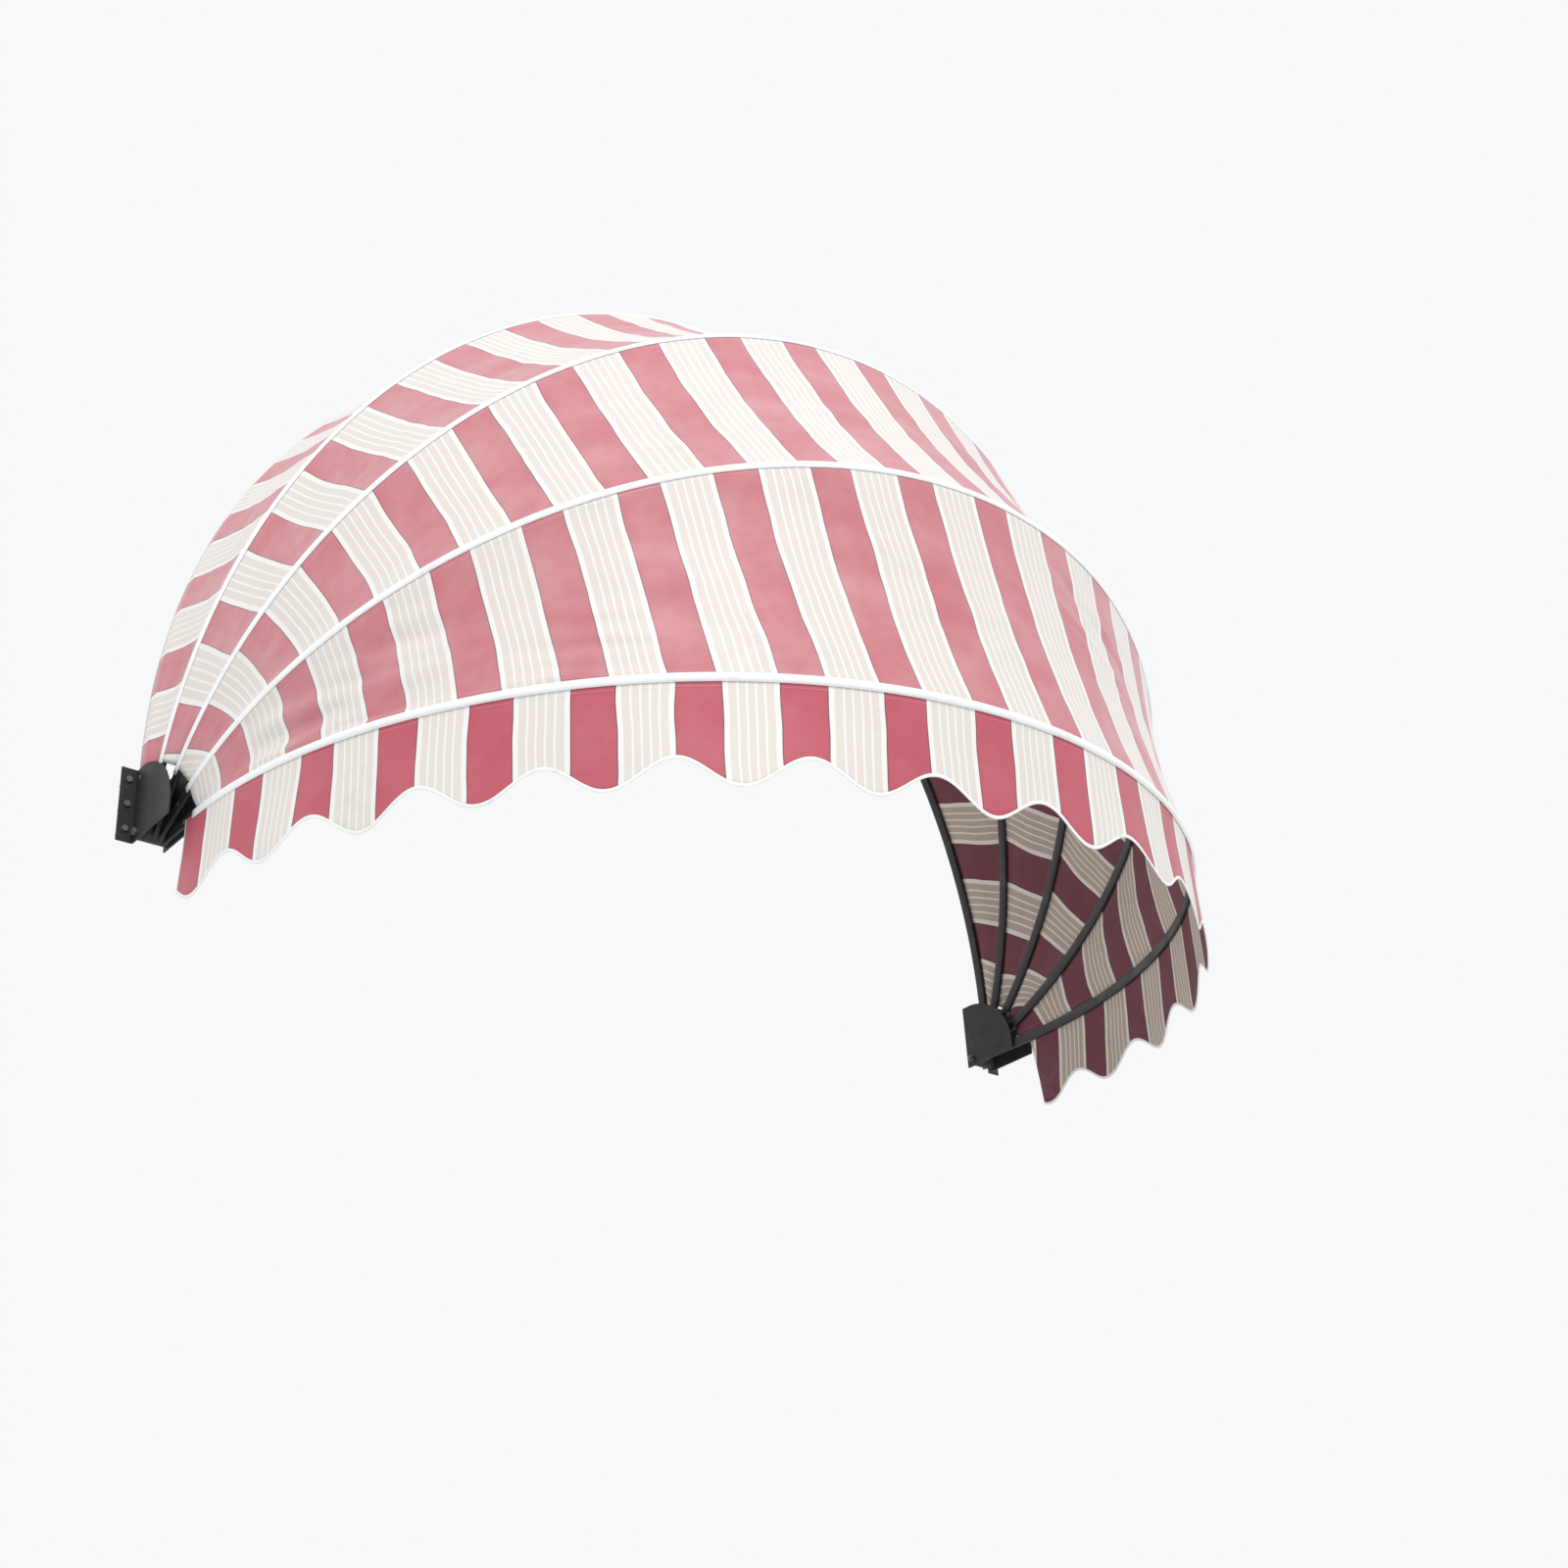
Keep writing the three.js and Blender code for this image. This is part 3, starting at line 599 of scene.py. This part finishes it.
class Creases:
    """A few tension creases side by side, that die away around their middle.

    s and y give the middle, in metres along the front bow and across from the bow behind. The
    depth is in mm.
    """

    ACROSS = 23.0  # creases to the metre
    ALONG = 2.2  # and how often one changes along its own length
    REACH = 0.15
    SLANT = 0.35  # how far the creases lean from the bow's own direction

    def __init__(self, s, y, depth):
        self.s, self.y, self.depth = s, y, depth

    def height(self, s, y):
        along, across = s - self.s, y - self.y
        near = math.exp(-(along ** 2 + across ** 2) / self.REACH ** 2)
        lane = across + self.SLANT * along
        return near * ripple(self.depth, lane, along, self.ACROSS, self.ALONG, 10 * self.s)


class Gore:
    """The cloth between two bows, taut over both tubes and a little hollow between them."""

    ON_TUBE = 2 / GORE_ROWS

    def __init__(self, index, rear_cut, front_cut, creases=()):
        self.index = index
        self.creases = creases
        self.rear, self.front = BOWS[index - 1], BOWS[index]
        self.rear_cut, self.front_cut = rear_cut, front_cut
        self.rear_edge = -WALL_FLAP if index == 1 else GAP
        self.over = TUBE_WIDTH / 2 + GAP

    def ways(self, u):
        return u * self.rear.half_arc, u * self.front.half_arc

    def ends(self, u):
        rear_way, front_way = self.ways(u)
        return (self.rear.at(rear_way, CLOTH_LIFT, self.over),
                self.front.at(front_way, CLOTH_LIFT, -self.over))

    def span(self, u):
        start, end = self.ends(u)
        return (end - start).length

    def folds(self, u, q):
        """How far the cloth stands out or in at a place between the bows. Heights here are in mm."""
        s = u * self.front.half_arc
        width = self.span(u)
        y = q * width
        middle = 4 * q * (1 - q)
        seed = 11.0 * self.index
        slant = 0.55 * u
        broad = ripple(6.0, s, y, 1.6, 2.2, seed)
        diagonal = ripple(3.6, s + y * slant, y - s * slant, 4.5, 1.3, seed + 3)
        across = ripple(3.0, s, y, 2.6, 13.0, seed + 5)
        small = ripple(1.1, s, y, 15.0, 21.0, seed + 6)
        hub = abs(u) ** 3 * ripple(3.5, s, y, 3.0, 26.0, seed + 7)
        edge = min(y, width - y)
        pucker = math.exp(-edge / PUCKER_REACH) * ripple(2.6, s, y, 17.0, 3.0, seed + 9)
        pinned = min(edge / PINNED_EDGE, 1)
        creases = sum(crease.height(s, y) for crease in self.creases)
        slack = (broad + diagonal + across + small + hub) * middle ** 0.7
        return (slack + (pucker + creases) * pinned) * MM

    def place(self, u, v):
        rear_way, front_way = self.ways(u)
        if v <= self.ON_TUBE:
            side = self.rear_edge + (self.over - self.rear_edge) * v / self.ON_TUBE
            return self.rear.at(rear_way, CLOTH_LIFT, side)
        if v >= 1 - self.ON_TUBE:
            side = self.over + (GAP - self.over) * (v - 1 + self.ON_TUBE) / self.ON_TUBE
            return self.front.at(front_way, CLOTH_LIFT, -side)
        q = (v - self.ON_TUBE) / (1 - 2 * self.ON_TUBE)
        start, end = self.ends(u)
        outward = (self.rear.outward(rear_way).lerp(self.front.outward(front_way), q)).normalized()
        sag = GORE_SAG * 4 * q * (1 - q) * math.cos(math.pi / 2 * u) ** 0.6
        return start.lerp(end, q) + outward * (self.folds(u, q) - sag)

    def pattern(self, u, v):
        rear_way, front_way = self.ways(u)
        rear, front = self.rear_cut.along(rear_way), self.front_cut.along(front_way)
        return rear + (front - rear) * v, v * self.span(u)

    def hem(self, u, v):
        return min(v, 1 - v) * self.span(u)

    def weight(self, u, v, spot):
        """How much of the front bow's turn a point takes.

        Cloth on a tube turns with it. Between the tubes it goes by the angle about the pivot axis.
        """
        if v <= self.ON_TUBE:
            return 0.0
        if v >= 1 - self.ON_TUBE:
            return 1.0
        start, end = (turn_about_pivot(edge) for edge in self.ends(u))
        return min(max((turn_about_pivot(spot) - start) / (end - start), 0), 1)

    def weights(self, piece, shares):
        self.rear.at(0)
        self.front.at(0)
        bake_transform(piece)
        values = [self.weight(u, v, vert.co) for (u, v), vert in zip(shares, piece.data.vertices)]

    def flat_size(self):
        """The cut cloth's widest width, its length, and its area."""
        steps = 200
        step = (self.rear.half_arc + self.front.half_arc) / steps
        widths = [self.span(-1 + 2 * (i + 0.5) / steps) + self.over + TUBE_WIDTH / 2 for i in range(steps)]
        widths = [w - self.rear_edge + GAP for w in widths]
        return max(widths), step * steps, sum(widths) * step

    def build(self):
        grid, shares = cloth_grid(GORE_COLUMNS, GORE_ROWS, self.place, self.pattern, self.hem)
        piece = finish_piece(f"gore_{self.index}", grid, [GORE_OUTSIDE_PAINTED_SHEEN, CLOTH_INSIDE_PAINTED_SHADE])
        self.weights(piece, shares)
        thicken(piece, CLOTH, 1, inner_slot=1, even=False)
        width, length, area = self.flat_size()
        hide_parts(f"cloth_gore_{self.index}")


def valance_way(share, depth):
    """The way along the bow to a share of the valance's length. Its two ends slope in."""
    right = VALANCE_OFFSET - FRONT.half_arc + VALANCE_RIGHT_LEAN * depth
    left = VALANCE_OFFSET + FRONT.half_arc - VALANCE_LEFT_LEAN * depth
    return right + (left - right) * share


def valance_drop(share):
    """How far down the scalloped edge hangs."""
    way = valance_way(share, 0)
    rise = VALANCE_END_RISE * (way / FRONT.half_arc) ** 4
    return VALANCE_MEAN - rise + VALANCE_WAVE * math.cos(2 * math.pi * (way - SCALLOP_SHIFT) / SCALLOP_PITCH)


def valance_place(share, side, out=0.0):
    """A place on the hanging valance, `side` below the bow's centre line."""
    depth = side / VALANCE_MEAN
    way = valance_way(share, depth)
    slow = ripple(16 * MM, way, depth, 2.1, 0.4, 41.0)
    quick = ripple(9 * MM, way, depth, 5.2, 0.6, 43.0)
    looser_ends = 1 + 1.8 * (abs(way) / FRONT.half_arc) ** 4
    wave = (slow + quick) * depth ** 1.4 * looser_ends
    return FRONT.at(way, CLOTH_LIFT + out + wave, side)


def build_valance():
    def place(u, v):
        share = (1 + u) / 2
        return valance_place(share, GAP + v * (valance_drop(share) - 1 * MM - GAP))

    def pattern(u, v):
        share = (1 + u) / 2
        side = v * valance_drop(share)
        return valance_way(share, side / VALANCE_MEAN) - VALANCE_PHASE, side

    def hem(u, v):
        return v * valance_drop((1 + u) / 2)

    grid, _ = cloth_grid(VALANCE_COLUMNS, VALANCE_ROWS, place, pattern, hem)
    piece = finish_piece("valance_cloth", grid, [VALANCE_OUTSIDE, CLOTH_INSIDE_PAINTED_SHADE])
    thicken(piece, CLOTH, 1, inner_slot=1, even=False)
    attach(piece, FRONT.body)
    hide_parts("valance")
    edge = edge_binding()


def edge_binding():
    """White tape folded over the scalloped edge."""
    bar = straight_bar(1.0, BINDING_WIDTH, BINDING_THICKNESS, VALANCE_COLUMNS, BINDING_CORNER)
    for vert in bar.verts:
        share, down, out = 0.5 - vert.co.x, -vert.co.y, vert.co.z
        side = valance_drop(share) - BINDING_WIDTH / 2 + down
        vert.co = valance_place(share, side, out + CLOTH / 2)
    piece = finish_piece("valance_edge_tape", bar, [EDGE_TAPE])
    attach(piece, FRONT.body)
    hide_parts("valance_binding")
    return piece


# ---------------------------------------------------------------- metalwork

def finish_metalwork():
    """Plated fasteners, and dark paint on the brackets, feet and clips."""
    for name, node in nodes.items():
        if not node.hide_render:
            node.data.materials.clear()
            plated = "screw" in name or "rivet" in name or "pivot" in name
            node.data.materials.append(FASTENER_STEEL if plated else BRACKET_PAINT)


# ---------------------------------------------------------------- the awning

STRIPES = stripes_group()
WEAVE = weave_group()
HEM = hem_group()
GRIME = grime_group()
GRAIN = grain_group()

VALANCE_OUTSIDE = cloth_material(
    "valance_outside", red=(0.53, 0.085, 0.125, 1), seam=(0.20, 0.07, 0.09, 1), white=(0.90, 0.90, 0.89, 1),
    cream=(0.80, 0.74, 0.68, 1), fading_and_painted_sheen=0.06, roughness=0.5, sheen=0.1,
)
# The gores' cloth: a paler red than the valance's and more pale patches, a lit copy of the cloth as painted
# sheen on the upward-facing panels.
GORE_OUTSIDE_PAINTED_SHEEN = cloth_material(
    "gore_outside_painted_sheen", red=(0.575, 0.165, 0.20, 1), seam=(0.28, 0.12, 0.14, 1), white=(0.88, 0.88, 0.87, 1),
    cream=(0.77, 0.71, 0.655, 1), fading_and_painted_sheen=0.20, roughness=0.5, sheen=0.3,
)
# The cloth's inner face: the same stripes in much darker colours, painted shade for the inside of the dome.
CLOTH_INSIDE_PAINTED_SHADE = cloth_material(
    "cloth_inside_painted_shade", red=(0.155, 0.035, 0.052, 1), seam=(0.10, 0.035, 0.045, 1), white=(0.74, 0.68, 0.63, 1),
    cream=(0.46, 0.37, 0.31, 1), fading_and_painted_sheen=0.02, roughness=0.8, sheen=0.0,
)
BOW_PAINT = painted_material("bow_paint", (0.022, 0.023, 0.025), (0.11, 0.105, 0.10), 0.42, 0.25)
BRACKET_PAINT = painted_material("bracket_paint", (0.017, 0.018, 0.019), (0.10, 0.09, 0.085), 0.5, 0.2)
FASTENER_STEEL = painted_material("fastener_steel", (0.15, 0.15, 0.155), (0.10, 0.085, 0.075), 0.48, 0.6)
STRIP_PLASTIC = tape_material("strip_plastic", (0.90, 0.93, 0.94), 0.42, 6 * MM)
EDGE_TAPE = tape_material("edge_tape", (0.86, 0.88, 0.88), 0.7, 1.6 * MM)

add_camera()
add_stage()

BOWS = [Bow(index) for index in range(len(NAMES))]
FRONT = BOWS[-1]
GORES = [
    Gore(1, Cut(20, 0.03, 0.045), Cut(-25, 0.03, 0.035)),
    Gore(2, Cut(50, 0.05, 0.055), Cut(35, 0.035, 0.035)),
    Gore(3, Cut(40, 0.03, 0.03), Cut(40, 0.005, 0.005)),
    Gore(4, Cut(25, 0.005, 0.05), Cut(-45, 0.015, 0.015),
         [Creases(1.41, 0.24, 24), Creases(1.66, 0.16, 15), Creases(1.0, 0.44, 15), Creases(-0.3, 0.2, 8)]),
]

for bow in BOWS:
    bow_tube(bow)
for bow in BOWS[1:]:
    cover_strip(bow)
for gore in GORES:
    gore.build()
build_valance()
finish_metalwork()
